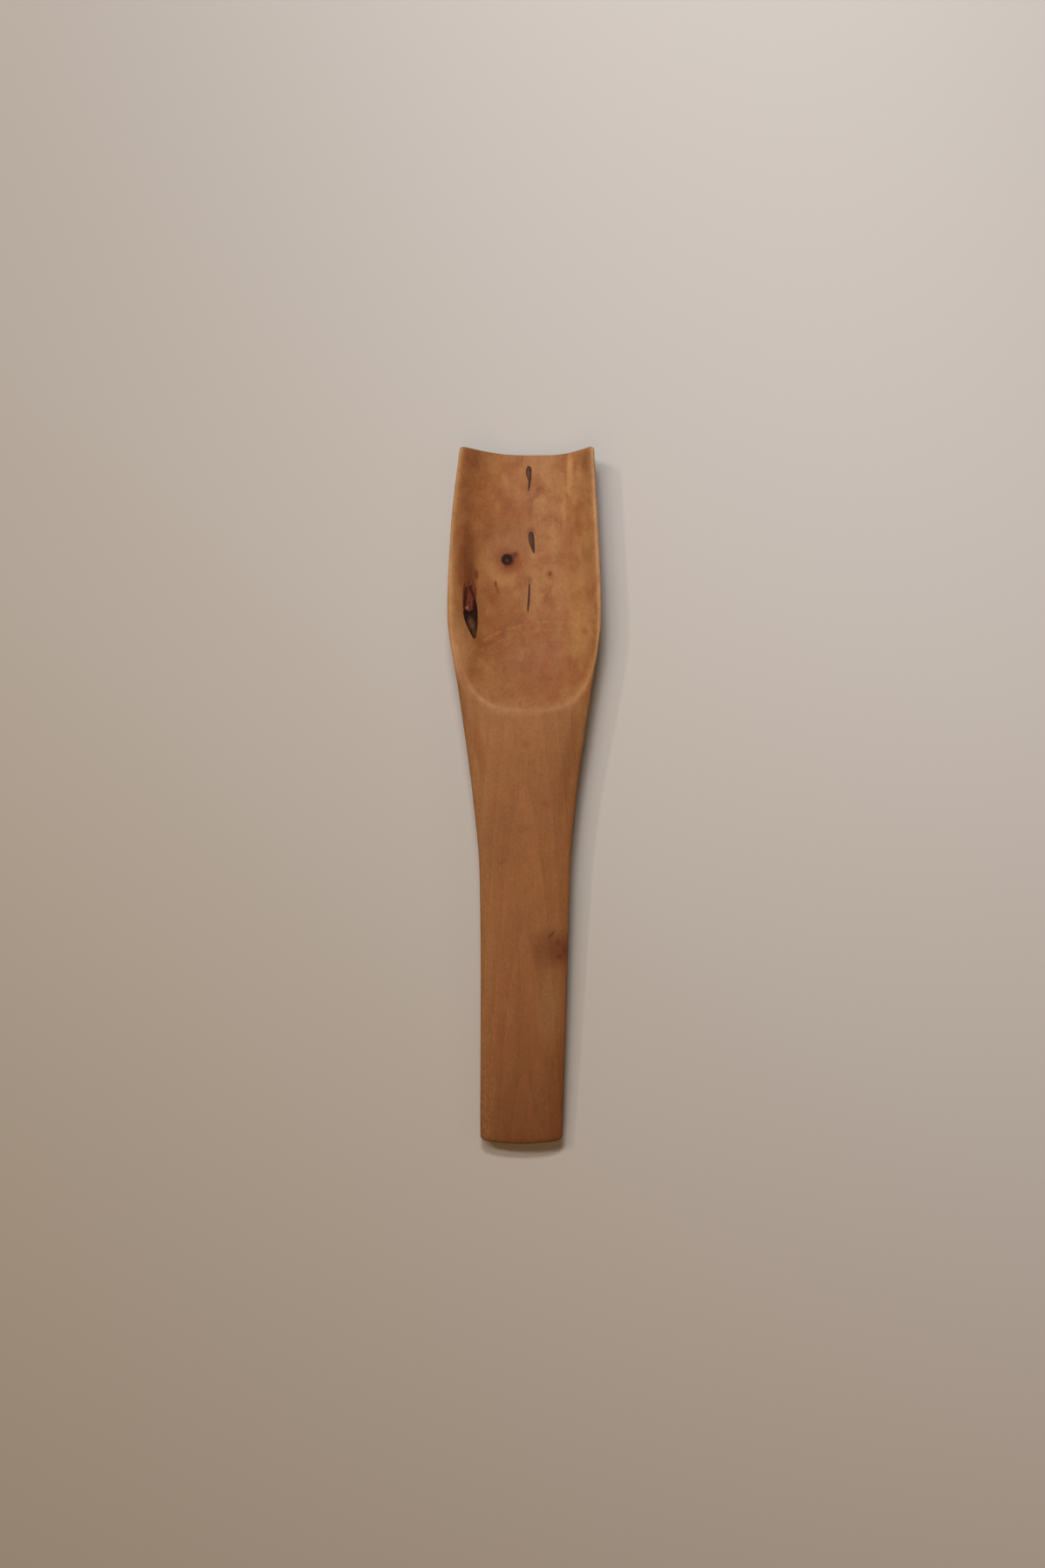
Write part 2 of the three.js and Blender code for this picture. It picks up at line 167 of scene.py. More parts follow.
def soft_min(a, b, softness):
    """The lower of two heights, with the edge where they cross sanded round."""
    mix = np.clip(0.5 + 0.5 * (b - a) / softness, 0, 1)
    return b + (a - b) * mix - softness * mix * (1 - mix)


def superellipse(across, power):
    """Height of a rounded section, from 1 in the middle to 0 at either side."""
    return (1 - np.abs(across) ** power) ** (1 / power)


def even_points(x, z, count):
    """Points at even steps along a section's line."""
    length = np.concatenate(([0], np.cumsum(np.hypot(np.diff(x), np.diff(z)))))
    steps = np.linspace(0, length[-1], count + 1)
    return np.interp(steps, length, x), np.interp(steps, length, z)


def crown_height(x, back, side_inset=0.0):
    """Height of the spoon's top before it is hollowed."""
    half = outline_width(back) / 2 - side_inset
    top = ridge_height(back) - side_inset * END_SOFTNESS
    bottom = keel_height(back) + side_inset * END_SOFTNESS
    share = bowl_share(back)
    edge = top - ((top - bottom) * HANDLE_EDGE * (1 - share) + RIM_ROUND * share)
    across = np.clip((x - outline_drift(back)) / half, -1, 1)
    power = HANDLE_CROWN + (BOWL_CROWN - HANDLE_CROWN) * share
    return edge + (top - edge) * superellipse(across, power)


def section(back, side_inset=0.0, face_inset=0.0):
    """One closed ring round the spoon: over the top from left to right, and back underneath."""
    half = outline_width(back) / 2 - side_inset
    drift = outline_drift(back)
    across = np.sin(np.linspace(-math.pi / 2, math.pi / 2, SECTION_SAMPLES))
    x = drift + half * across
    crown = crown_height(x, back, side_inset)
    softness = np.where(x < hollow_middle(back), LEFT_RIM_SOFTNESS, RIGHT_RIM_SOFTNESS)
    softness = REAR_SOFTNESS + (softness - REAR_SOFTNESS) * bowl_share(back)
    over = soft_min(crown, hollow_height(x, back), softness)
    edge = crown[0]
    bottom = keel_height(back) + side_inset * END_SOFTNESS
    keel = HANDLE_KEEL + (BOWL_KEEL - HANDLE_KEEL) * bowl_share(back)
    under = edge - (edge - bottom) * superellipse(across, keel)
    under = -soft_min(-under, 0 * under, REST_SOFTNESS)
    over[[0, -1]] = edge
    over_x, over_z = even_points(x, over, SECTION_POINTS)
    under_x, under_z = even_points(x[::-1], under[::-1], SECTION_POINTS)
    ring = np.column_stack((np.append(over_x[:-1], under_x[:-1]),
                            np.append(over_z[:-1], under_z[:-1])))
    along = np.roll(ring, -1, axis=0) - np.roll(ring, 1, axis=0)
    along /= np.linalg.norm(along, axis=1, keepdims=True)
    ring += face_inset * np.column_stack((along[:, 1], -along[:, 0]))
    share = np.clip((ring[:, 0] - drift) / half, -1, 1)
    bow = front_bow(ring[:, 0]) * max(0.0, 1 - back / MOUTH)
    end_bow = END_BOW * max(0.0, (back - WAIST) / (END - WAIST)) ** 2 * share ** 2
    y = front_y - back - bow + end_bow
    points = np.column_stack((ring[:, 0], y, ring[:, 1]))
    return np.vstack((points, points[:1]))


def quarter_round(radius):
    """Depths behind a rounded edge and how far it is drawn in at each, from the face back."""
    turns = np.linspace(0, math.pi / 2, ROUND_RINGS + 1)[:-1]
    return [(radius * (1 - math.cos(turn)), radius * (1 - math.sin(turn))) for turn in turns]


def drawn_in(depth, radius):
    """How far a rounded corner is drawn in at a depth behind its face."""
    short = max(0.0, radius - depth)
    return radius - math.sqrt(radius ** 2 - short ** 2)


def pressed_flat(ring):
    """A ring pressed onto its own middle line, which closes that end of the skin."""
    return (ring + ring[::-1]) / 2


rings = [section(depth, drawn_in(depth, CORNER_ROUND), inset)
         for depth, inset in quarter_round(LIP_ROUND)]
round_start = END - END_ROUND
plain_backs = np.linspace(LIP_ROUND, round_start, round((round_start - LIP_ROUND) / RING_STEP))
rings += [section(back, drawn_in(back, CORNER_ROUND)) for back in plain_backs]
rings += [section(END - depth, inset) for depth, inset in reversed(quarter_round(END_ROUND))]
rings = [pressed_flat(rings[0]), *rings, pressed_flat(rings[-1])]

bpy.ops.mesh.primitive_grid_add(x_subdivisions=2 * SECTION_POINTS,
                                y_subdivisions=len(rings) - 1, size=1)
carved_body = bpy.context.object
carved_body.name = "carved_body"
points = np.concatenate(rings)
for point in points:
    waver = noise.noise(Vector(point) / WAVER_LENGTH)
    point[2] += HAND_WAVER * waver * min(1.0, point[2] / MM)
carved_body.data.vertices.foreach_set("co", points.ravel())
bpy.ops.object.mode_set(mode="EDIT")
bpy.ops.mesh.select_all(action="SELECT")
bpy.ops.mesh.remove_doubles(threshold=MERGE_REACH)
bpy.ops.mesh.normals_make_consistent(inside=False)
bpy.ops.object.mode_set(mode="OBJECT")
bpy.ops.object.shade_smooth_by_angle(angle=SMOOTH_ANGLE)

# The rims are pale along their outermost edge, widest at the left of the belly, and so is the rear
# of the hollow, most towards its two ends: partly worn by hands, partly a painted highlight where
# these rounded edges catch the light. The pale band fades out a little way down the flanks.
spots = np.array([corner.co for corner in carved_body.data.vertices])
spot_backs = front_y - spots[:, 1]
from_left = spots[:, 0] - outline_drift(spot_backs) + outline_width(spot_backs) / 2
from_right = outline_width(spot_backs) - from_left
rear_share = through_stations([BELLY, SHOULDER], [0, 1])(spot_backs)
near_belly = np.exp(-((spot_backs - WORN_FROM_FRONT) / WORN_LENGTH) ** 2)
below_rim = ridge_height(spot_backs) - RIM_ROUND - spots[:, 2]
rim_share = np.clip(1 - below_rim / WORN_FLANK, 0, 1) * (1 - rear_share)
left_width = WORN_RIM + WORN_BELLY * near_belly
left_wear_and_highlight = np.exp(-(from_left / left_width) ** 2) * rim_share * LEFT_WEAR_AND_HIGHLIGHT
right_wear_and_highlight = np.exp(-(from_right / WORN_RIM) ** 2) * rim_share * RIGHT_WEAR_AND_HIGHLIGHT
crest = crown_height(spots[:, 0], spot_backs) - hollow_height(spots[:, 0], spot_backs)
rear_side = through_stations(REAR_WEAR_PLACES, REAR_WEAR_AND_HIGHLIGHT)(spots[:, 0])
inward = through_stations([0, REAR_WEAR_PLACES[-1]], [0, REAR_WEAR_INWARD])(spots[:, 0])
rear_width = WORN_HEIGHT + REAR_WEAR_SPREAD * inward
rear_wear_and_highlight = np.exp(-((crest - inward) / rear_width) ** 2) * rear_share * rear_side
rear_wear_and_highlight *= spots[:, 2] > WORN_LEAST_HEIGHT
wear_and_highlight = np.maximum(np.maximum(left_wear_and_highlight, right_wear_and_highlight), rear_wear_and_highlight)
carved_body.data.attributes.new("worn_edge", "FLOAT", "POINT").data.foreach_set("value", wear_and_highlight)
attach(carved_body, "root")
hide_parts("spoon_body")


class Shade:
    """A value in a material: arithmetic on it adds Math nodes, and node adds any other one."""

    def __init__(self, tree, socket=None):
        self.tree = tree
        self.socket = socket

    def node(self, kind, settings, values, output=0):
        made = self.tree.nodes.new(kind)
        for name, setting in settings.items():
            if name == "stops":
                stops = made.color_ramp.elements
                while len(stops) < len(setting):
                    stops.new(1)
                for stop, (position, tint) in zip(stops, setting):
                    stop.position = position
                    stop.color = tint
            else:
                setattr(made, name, setting)
        inputs = [socket for socket in made.inputs if socket.enabled]
        named = {socket.name: socket for socket in reversed(inputs)}
        for name, value in values.items():
            socket = inputs[name] if isinstance(name, int) else named[name]
            if isinstance(value, Shade):
                self.tree.links.new(value.socket, socket)
            else:
                socket.default_value = value
        outputs = [socket for socket in made.outputs if socket.enabled]
        found = outputs[output] if isinstance(output, int) else made.outputs[output]
        return Shade(self.tree, found)

    def math(self, operation, first, second):
        return self.node("ShaderNodeMath", {"operation": operation}, {0: first, 1: second})

    def __add__(self, other):
        return self.math("ADD", self, other)

    def __radd__(self, other):
        return self.math("ADD", other, self)

    def __sub__(self, other):
        return self.math("SUBTRACT", self, other)

    def __rsub__(self, other):
        return self.math("SUBTRACT", other, self)

    def __mul__(self, other):
        return self.math("MULTIPLY", self, other)

    def __rmul__(self, other):
        return self.math("MULTIPLY", other, self)


def colour(red, green, blue):
    """A colour as a screen shows it, made linear."""
    shown = np.array([red, green, blue]) / 255
    linear = np.where(shown <= 0.04045, shown / 12.92, ((shown + 0.055) / 1.055) ** 2.4)
    return (*linear, 1.0)


def scaled(vector, factor):
    """A colour or a place, multiplied by a number or a shade."""
    return vector.node("ShaderNodeVectorMath", {"operation": "SCALE"},
                       {"Vector": vector, "Scale": factor})


def new_finish(name):
    """An empty material: its shader's sockets, and the place on the piece in millimetres."""
    material = bpy.data.materials.new(name)
    material.use_nodes = True
    tree = material.node_tree
    metres = Shade(tree).node("ShaderNodeTexCoord", {}, {}, "Object")
    return material, tree.nodes["Principled BSDF"].inputs, scaled(metres, 1 / MM)


def feed(socket, value):
    """Link a shade to one of the shader's sockets."""
    value.tree.links.new(value.socket, socket)


def stand_out(shader, relief, strength, depth):
    """Let a pattern stand out of the surface by a depth in millimetres."""
    feed(shader["Normal"], relief.node("ShaderNodeBump", {}, {
        "Height": relief, "Strength": strength, "Distance": depth * MM}))


def stretched(place, across, along):
    """The place in steps of a pattern that is longer along the grain than across it."""
    return place.node("ShaderNodeMapping", {},
                      {"Vector": place, "Scale": (1 / across, 1 / along, 1 / across)})


PATTERN_DETAIL = 3.0
PATTERN_ROUGHNESS = 0.55


def mottle(place, across, along):
    """Soft random shade about 0.5, drawn out along the grain."""
    return place.node("ShaderNodeTexNoise", {}, {
        "Vector": stretched(place, across, along), "Scale": 1.0,
        "Detail": PATTERN_DETAIL, "Roughness": PATTERN_ROUGHNESS})


def between(value, low, high):
    """0 below low, 1 above high and a soft step in between."""
    return value.node("ShaderNodeMapRange", {"interpolation_type": "SMOOTHSTEP"},
                      {"Value": value, "From Min": low, "From Max": high})


def mixed(first, second, share):
    """One colour with a share of another over it."""
    return share.node("ShaderNodeMix", {"data_type": "RGBA"},
                      {"Factor": share, "A": first, "B": second})


def along_axis(place, axis):
    """How far the place lies along one axis."""
    return place.node("ShaderNodeSeparateXYZ", {}, {"Vector": place}, axis)


def circled(place, at, reach, turn=0.0):
    """Distance from a point, in shares of the reach along each direction."""
    local = place.node("ShaderNodeMapping", {"vector_type": "TEXTURE"}, {
        "Vector": place, "Location": at, "Rotation": (0, 0, math.radians(turn)), "Scale": reach})
    return local.node("ShaderNodeVectorMath", {"operation": "LENGTH"}, {0: local}, "Value")


def patch(place, at, reach, turn=0.0, fade=0.75):
    """A soft patch round a point, which fades from 1 to 0 over the outer share of its reach."""
    return 1 - between(circled(place, at, reach, turn), 1 - fade, 1.0)


def line_at(value, middle, width):
    """A soft line: 1 where a value is at its middle, and 0 a width away on either side."""
    return between(value, middle - width, middle) - between(value, middle, middle + width)


def wavering(place, across, along, amount):
    """The place, shifted here and there so that patches get ragged edges."""
    drift = place.node("ShaderNodeTexNoise", {}, {
        "Vector": stretched(place, across, along), "Scale": 1.0, "Detail": PATTERN_DETAIL}, "Color")
    middle = drift.node("ShaderNodeVectorMath", {"operation": "SUBTRACT"},
                        {0: drift, 1: (0.5, 0.5, 0.5)})
    shift = scaled(middle, amount)
    return shift.node("ShaderNodeVectorMath", {}, {0: place, 1: shift})


# Wood colours along the spoon, from the handle's end to the front edge
LENGTHWISE = [(0.0, colour(109, 64, 35)), (0.16, colour(130, 81, 47)), (0.38, colour(138, 89, 51)),
              (0.5, colour(136, 88, 51)), (0.62, colour(145, 97, 59)), (0.7, colour(132, 82, 43)),
              (0.8, colour(142, 91, 53)), (1.0, colour(147, 97, 57))]
# Painted light for the bowl's right side, and painted shade for the handle's right side and some
# patches
SUNLIT_SIDE = colour(158, 112, 71)
SHADED_SIDE = colour(108, 64, 33)
HANDLE_TAN = colour(136, 95, 57)
# Pale wear along the rims and the rear of the hollow, with a painted highlight in it
WORN_AND_LIT_EDGE = colour(188, 146, 93)
WORN_AND_LIT_REAR = colour(188, 146, 106)
WALL_BROWN = colour(114, 64, 39)
BARK_RED = colour(84, 34, 17)
FRESH_RED = colour(128, 68, 34)
HONEY = colour(168, 122, 75)
PALE = colour(200, 150, 100)
OLIVE = colour(108, 68, 37)
KNOT_RED = colour(84, 38, 18)
# Stains, pale places, painted light and painted shade in millimetres: middle, reach, turn in
# degrees, colour and strength
STAINS_AND_PAINTED_LIGHT = [
    ((-14.6, 60, 8), (3.4, 14, 5), 0, BARK_RED, 0.38),
    ((-14.2, 55, 7), (2.6, 8, 4), 0, BARK_RED, 0.5),
    ((-6, 66, 5), (10, 8, 5), 0, WALL_BROWN, 0.35),
    ((3, 45.5, 5), (16, 4, 5), 0, FRESH_RED, 0.25),
    # Painted light: the rear of the left wall, paler
    ((-16.8, 38.5, 9), (5, 11, 8), 0, PALE, 0.4),
    ((-10.4, 31, 9), (6, 9, 8), 0, PALE, 0.08),
    ((11.5, 69, 6), (4.5, 11, 5), 0, FRESH_RED, 0.3),
    ((-14.5, 89, 8), (5, 7, 6), 0, WALL_BROWN, 0.48),
    ((17.0, 87, 9), (4.2, 7, 7), 0, WALL_BROWN, 0.4),
    ((16.2, 62.7, 9), (2.6, 3.2, 4), 0, OLIVE, 0.4),
    ((14.2, 50.6, 8), (3.4, 5, 5), 0, FRESH_RED, 0.4),
    ((10.4, 42.9, 7), (4, 2.4, 4), 0, FRESH_RED, 0.35),
    ((-2.0, 73.8, 5), (7, 5, 4), 0, FRESH_RED, 0.42),
    ((2.2, 58, 5), (2.4, 8, 4), 0, HONEY, 0.3),
    ((11.8, 84.5, 6), (1.2, 8, 4), 0, PALE, 0.45),
    ((10.3, 73.5, 6), (0.8, 7, 4), 0, HONEY, 0.4),
    ((3.1, 78.9, 5), (1.3, 3.8, 3), -37, WALL_BROWN, 0.5),
    ((4.4, 80.2, 5), (1.9, 1.0, 3), 10, WALL_BROWN, 0.4),
    ((1.5, 74.6, 5), (0.9, 3.8, 3), -6, WALL_BROWN, 0.35),
    ((-0.7, 87, 5), (0.5, 2.2, 3), 0, OLIVE, 0.4),
    ((-12.4, 85.5, 6), (0.5, 3, 3), 0, WALL_BROWN, 0.6),
    ((-3.2, 60.6, 5), (4.6, 4.4, 4), 0, FRESH_RED, 0.85),
    ((-4.2, 61.6, 5), (2.6, 2.5, 4), 0, BARK_RED, 1.2),
    ((-2.7, 62.9, 5), (1.9, 1.2, 4), 20, BARK_RED, 0.8),
    ((1.8, 68.9, 5), (1.5, 1.9, 4), 0, OLIVE, 0.6),
    ((1.4, 56.2, 5), (0.8, 1.8, 4), 0, OLIVE, 0.5),
    ((-3.6, 44.6, 5), (6.4, 2.0, 4), 33, WALL_BROWN, 0.4),
    ((-5.6, 42.4, 5), (2.0, 1.9, 4), 0, OLIVE, 0.35),
    ((5, 32, 8), (14, 12, 10), 0, FRESH_RED, 0.35),
    # Painted light: the lower right wall, paler
    ((14.5, 45, 9), (5, 15, 8), 0, HONEY, 0.52),
    ((17, 66, 9), (3.5, 18, 8), 0, HONEY, 0.2),
    ((-10.2, 39.6, 6), (3.4, 0.8, 4), 14, OLIVE, 0.4),
    ((-8.5, 51.5, 5), (2.4, 3.6, 4), 0, FRESH_RED, 0.4),
    ((-12.4, 57.6, 7), (0.8, 1.7, 3), 0, BARK_RED, 0.62),
    ((-7.2, 54.2, 5), (0.7, 2.6, 3), 12, FRESH_RED, 0.9),
    ((6.1, 52.7, 5), (0.9, 4.0, 3), -27, FRESH_RED, 0.42),
    ((6.6, 57.9, 5), (1.6, 1.8, 3), 0, FRESH_RED, 0.6),
    ((15.5, 42.7, 9), (1.4, 1.5, 3), 0, FRESH_RED, 0.35),
    ((-1.2, 23.8, 11), (0.6, 1.3, 2), 0, FRESH_RED, 0.7),
    ((5.6, -2.0, 10), (2.0, 1.5, 3), 0, FRESH_RED, 0.6),
    ((0.2, 13.4, 11), (1.9, 1.6, 3), 0, OLIVE, 0.3),
    ((-0.3, -8.3, 10), (2.2, 1.9, 3), 0, OLIVE, 0.35),
    ((-5.6, -16.9, 10), (1.8, 0.9, 3), 25, FRESH_RED, 0.5),
    # Painted shade: down the right side of the neck
    ((11.2, 9, 9), (2.4, 19, 8), -9.7, SHADED_SIDE, 0.45),
    ((15.2, 19, 9), (1.2, 11, 6), -12, HANDLE_TAN, 0.5),
    ((-12.0, 14.5, 9), (1.8, 15, 6), 7, FRESH_RED, 0.55),
    # Painted shade: down the left flank of the shoulder
    ((-15.4, 23, 8), (2.0, 17, 8), 9.3, SHADED_SIDE, 0.4),
    ((7.0, -39.6, 7), (9, 7, 8), 0, KNOT_RED, 0.46),
    ((8.9, -39.6, 6), (4.4, 5, 6), 0, KNOT_RED, 0.35),
    ((9.1, -41.4, 8), (1.3, 1.1, 3), 0, BARK_RED, 0.5),
    ((10.3, -39.8, 8), (1.0, 1.2, 3), 0, BARK_RED, 0.4),
    ((8.6, -37.8, 8), (1.2, 1.4, 3), 0, BARK_RED, 0.5),
    ((6.9, -35.8, 8), (0.7, 2.2, 3), -45, BARK_RED, 0.7),
    ((6.5, -55, 8), (4.5, 14, 5), 0, HANDLE_TAN, 0.55),
    # Painted shade: the lower right of the handle
    ((8.5, -73, 6), (5, 17, 6), 0, SHADED_SIDE, 0.3),
    ((-6, -13, 10), (9, 15, 8), 0, SHADED_SIDE, 0.24),
    ((-1.6, -53, 8), (1.2, 40, 6), 0, OLIVE, 0.25),
]
BROAD_STAIN = 3
WALL_MIDDLE, WALL_REACH, WALL_FADE = (-16, 67, 8), (9, 31, 9), 0.6
KNOT_MIDDLE, HALO_REACH = (-4.5, 61.7, 5), (5.2, 5.4, 7)
SWIRL_REACH, SWIRL_FADE = (11, 12, 9), 0.9
RAMP_MIDDLE, RAMP_REACH = (7, 30, 8), (24, 15.5, 60)
# How the edges of stains waver: step across and along the grain, and how far, in millimetres
BROAD_WAVER = (3.0, 9.0, 2.2)
FINE_WAVER = (0.9, 1.6, 0.8)
# Soft steps across the spoon and along it, in millimetres: where each begins and where it is full
SUNLIT_ACROSS, SUNLIT_ALONG = (-6.0, 8.0), (22.0, 50.0)
BOWL_ALONG = (14.0, 34.0)
SHADED_ACROSS = (0.0, 12.0)
LEFT_EDGE_ACROSS = (-11.5, -6.0)
WALL_BASE = (-13.7, -11.9)
HALO_ACROSS = (-6.0, 1.0)
ARCS_ALONG = (33.0, 38.0)
WORN_ACROSS, WORN_ALONG = (2.0, 12.0), (36.0, 50.0)
# Random patterns: their size across and along the grain in millimetres, and the soft step in some
SPECKLES, SPECKLE_STEP = (0.55, 0.85), (0.38, 0.62)
HONEY_CLOUDS, HONEY_STEP = (3.1, 5.2), (0.45, 0.75)
RED_CLOUDS, RED_STEP = (4.3, 4.9), (0.42, 0.68)
ARC_BREAKS, BREAK_STEP = (2.5, 2.5), (0.38, 0.62)
PORES, PORE_STEP = (0.16, 2.4), (0.6, 0.75)
WORN_AND_LIT_PATCHES = (1.5, 4.0)
FIBRES = (0.42, 13.0)
BLOTCHES = (2.2, 3.4)
MOTTLES = (0.7, 1.0)
FLECKS = (0.28, 0.36)
# Year rings: steps across and along the grain in millimetres, their wave, and waves round the knot
RING_STRETCH = (1.0, 14.0)
RING_PATTERN = {"Scale": 0.17, "Distortion": 2.4, "Detail": 3.0, "Detail Scale": 0.35}
SWIRL_COUNT = 11.0
# Pale arcs on the ramp: distance in shares of its reach, width and strength
ARCS = [(1.0, 0.035, 1.0), (0.87, 0.03, 0.5), (0.62, 0.04, 0.4)]
HALO_WIDTH = 0.5
# How strongly each tint covers the wood
SUNLIT, SHADED, ON_WALL, HALO, ON_ARC = 0.55, 0.26, 0.12, 0.46, 0.38
EVEN_TAN, SPECKLED_TAN = 0.2, 0.65
CLOUDED, MORE_IN_BOWL, RED_SHARE = 0.06, 0.24, 1.6
EVEN_WEAR_AND_HIGHLIGHT, PATCHED_WEAR_AND_HIGHLIGHT = 0.25, 0.6
# How far each pattern moves the wood's tone, and what the bowl adds to it
TONE = 0.515
STRAIGHT_TONE, STRAIGHT_IN_BOWL, RING_SHARE = 0.34, -0.28, 0.3
BLOTCH_TONE, BLOTCH_IN_BOWL = 0.16, 0.24
MOTTLE_TONE, FLECK_TONE, SWIRL_TONE, PORE_TONE = 0.3, 0.64, 0.035, -0.12
ROUGHNESS, FIBRE_ROUGHNESS, PORE_ROUGHNESS, WORN_ROUGHNESS = 0.5, 0.18, 0.1, -0.1
FIBRE_RELIEF, RING_RELIEF, PORE_RELIEF = 0.7, 0.3, -0.5
WOOD_RELIEF = (0.4, 0.04)
WOOD_GLOSS = 0.16


def wood_tints(place, fine, in_bowl):
    """Tints along the spoon and clouds of honey and red, with painted light and painted shade on
    the right side.
    """
    across = along_axis(place, "X")
    along = along_axis(place, "Y")
    lengthwise = along.node("ShaderNodeMapRange", {}, {
        "Value": along, "From Min": cad_box[0][1] / MM, "From Max": cad_box[1][1] / MM})
    base = lengthwise.node("ShaderNodeValToRGB", {"stops": LENGTHWISE},
                           {"Fac": lengthwise}, "Color")
    # Painted light over the bowl's right side, and painted shade over the handle's right side
    sunlit = between(across, *SUNLIT_ACROSS) * between(along, *SUNLIT_ALONG)
    base = mixed(base, SUNLIT_SIDE, sunlit * SUNLIT)
    shaded = between(across, *SHADED_ACROSS) * (1 - in_bowl)
    base = mixed(base, SHADED_SIDE, shaded * SHADED)
    left_edge = (1 - between(along_axis(fine, "X"), *LEFT_EDGE_ACROSS)) * (1 - in_bowl)
    speckles = between(mottle(place, *SPECKLES), *SPECKLE_STEP)
    base = mixed(base, HANDLE_TAN, left_edge * (EVEN_TAN + SPECKLED_TAN * speckles))
    clouds = CLOUDED + MORE_IN_BOWL * in_bowl
    base = mixed(base, HONEY, between(mottle(place, *HONEY_CLOUDS), *HONEY_STEP) * clouds)
    red_clouds = between(mottle(place, *RED_CLOUDS), *RED_STEP) * (clouds * RED_SHARE)
    return mixed(base, FRESH_RED, red_clouds)


def wood_marks(base, place, fine, from_knot):
    """Marks over the tints: the left wall's brown, the knot's halo, stains with painted light and
    shade among them, and arcs on the ramp.
    """
    broad = wavering(place, *BROAD_WAVER)
    on_wall = 1 - between(along_axis(fine, "X"), *WALL_BASE)
    on_wall = on_wall * patch(broad, WALL_MIDDLE, WALL_REACH, fade=WALL_FADE)
    base = mixed(base, WALL_BROWN, on_wall * ON_WALL)
    halo_side = 1 - between(along_axis(place, "X"), *HALO_ACROSS)
    base = mixed(base, HONEY, line_at(from_knot, 1.0, HALO_WIDTH) * halo_side * HALO)
    # Stains, and patches of painted light and shade
    for at, reach, turn, tint, strength in STAINS_AND_PAINTED_LIGHT:
        ragged = broad if reach[0] > BROAD_STAIN else fine
        base = mixed(base, tint, patch(ragged, at, reach, turn) * strength)
    on_ramp = circled(fine, RAMP_MIDDLE, RAMP_REACH)
    arcs = sum(strength * line_at(on_ramp, middle, width) for middle, width, strength in ARCS)
    unbroken = between(mottle(place, *ARC_BREAKS), *BREAK_STEP)
    unbroken = unbroken * between(along_axis(place, "Y"), *ARCS_ALONG)
    return mixed(base, HONEY, arcs * unbroken * ON_ARC)


def wood_wear_and_highlight(base, place, wear_and_highlight):
    """Pale patchy wear and painted highlight over the marks, yellower at the rear's right and along
    the left rim.
    """
    to_right = between(along_axis(place, "X"), *WORN_ACROSS)
    rear_tint = mixed(WORN_AND_LIT_REAR, WORN_AND_LIT_EDGE, to_right)
    rim_tint = mixed(WORN_AND_LIT_EDGE, WORN_AND_LIT_REAR, to_right)
    worn_and_lit_tint = mixed(rear_tint, rim_tint, between(along_axis(place, "Y"), *WORN_ALONG))
    worn_and_lit_patches = mottle(place, *WORN_AND_LIT_PATCHES) * PATCHED_WEAR_AND_HIGHLIGHT + EVEN_WEAR_AND_HIGHLIGHT
    return mixed(base, worn_and_lit_tint, wear_and_highlight * worn_and_lit_patches)


def wood_tone(place, in_bowl, from_knot, rings, fibres, pores):
    """How light the wood is, by its rings, fibres, pores, blotches, flecks and swirls."""
    swirls = from_knot.node("ShaderNodeMath", {"operation": "SINE"}, {0: from_knot * SWIRL_COUNT})
    swirls = swirls * patch(place, KNOT_MIDDLE, SWIRL_REACH, fade=SWIRL_FADE)
    straight = STRAIGHT_TONE + STRAIGHT_IN_BOWL * in_bowl
    blotches = (BLOTCH_TONE + BLOTCH_IN_BOWL * in_bowl) * (mottle(place, *BLOTCHES) - 0.5)
    tone = TONE + straight * (RING_SHARE * rings + fibres - 0.5) + blotches
    tone = tone + MOTTLE_TONE * mottle(place, *MOTTLES) + FLECK_TONE * mottle(place, *FLECKS)
    return tone + SWIRL_TONE * swirls + PORE_TONE * pores


def carved_wood():
    """Fine branch wood under a thin rub of oil: rings, fibres, pores, stains, painted light and
    shade, and worn edges with a painted highlight.
    """
    material, shader, place = new_finish("carved_wood")
    fine = wavering(place, *FINE_WAVER)
    in_bowl = between(along_axis(place, "Y"), *BOWL_ALONG)
    from_knot = circled(fine, KNOT_MIDDLE, HALO_REACH)
    wear_and_highlight = place.node("ShaderNodeAttribute", {"attribute_name": "worn_edge"}, {}, "Fac")
    rings = place.node("ShaderNodeTexWave",
                       {"wave_type": "RINGS", "rings_direction": "Y", "wave_profile": "SAW"},
                       {"Vector": stretched(place, *RING_STRETCH), **RING_PATTERN}, "Fac")
    fibres = mottle(place, *FIBRES)
    pores = between(mottle(place, *PORES), *PORE_STEP)
    base = wood_tints(place, fine, in_bowl)
    base = wood_marks(base, place, fine, from_knot)
    base = wood_wear_and_highlight(base, place, wear_and_highlight)
    tone = wood_tone(place, in_bowl, from_knot, rings, fibres, pores)
    feed(shader["Base Color"], scaled(base, tone))
    roughness = ROUGHNESS + FIBRE_ROUGHNESS * fibres + PORE_ROUGHNESS * pores
    feed(shader["Roughness"], roughness + WORN_ROUGHNESS * wear_and_highlight)
    relief = FIBRE_RELIEF * fibres + RING_RELIEF * rings + PORE_RELIEF * pores
    stand_out(shader, relief, *WOOD_RELIEF)
    shader["Specular IOR Level"].default_value = WOOD_GLOSS
    return material


wood = carved_wood()
carved_body.data.materials.append(wood)

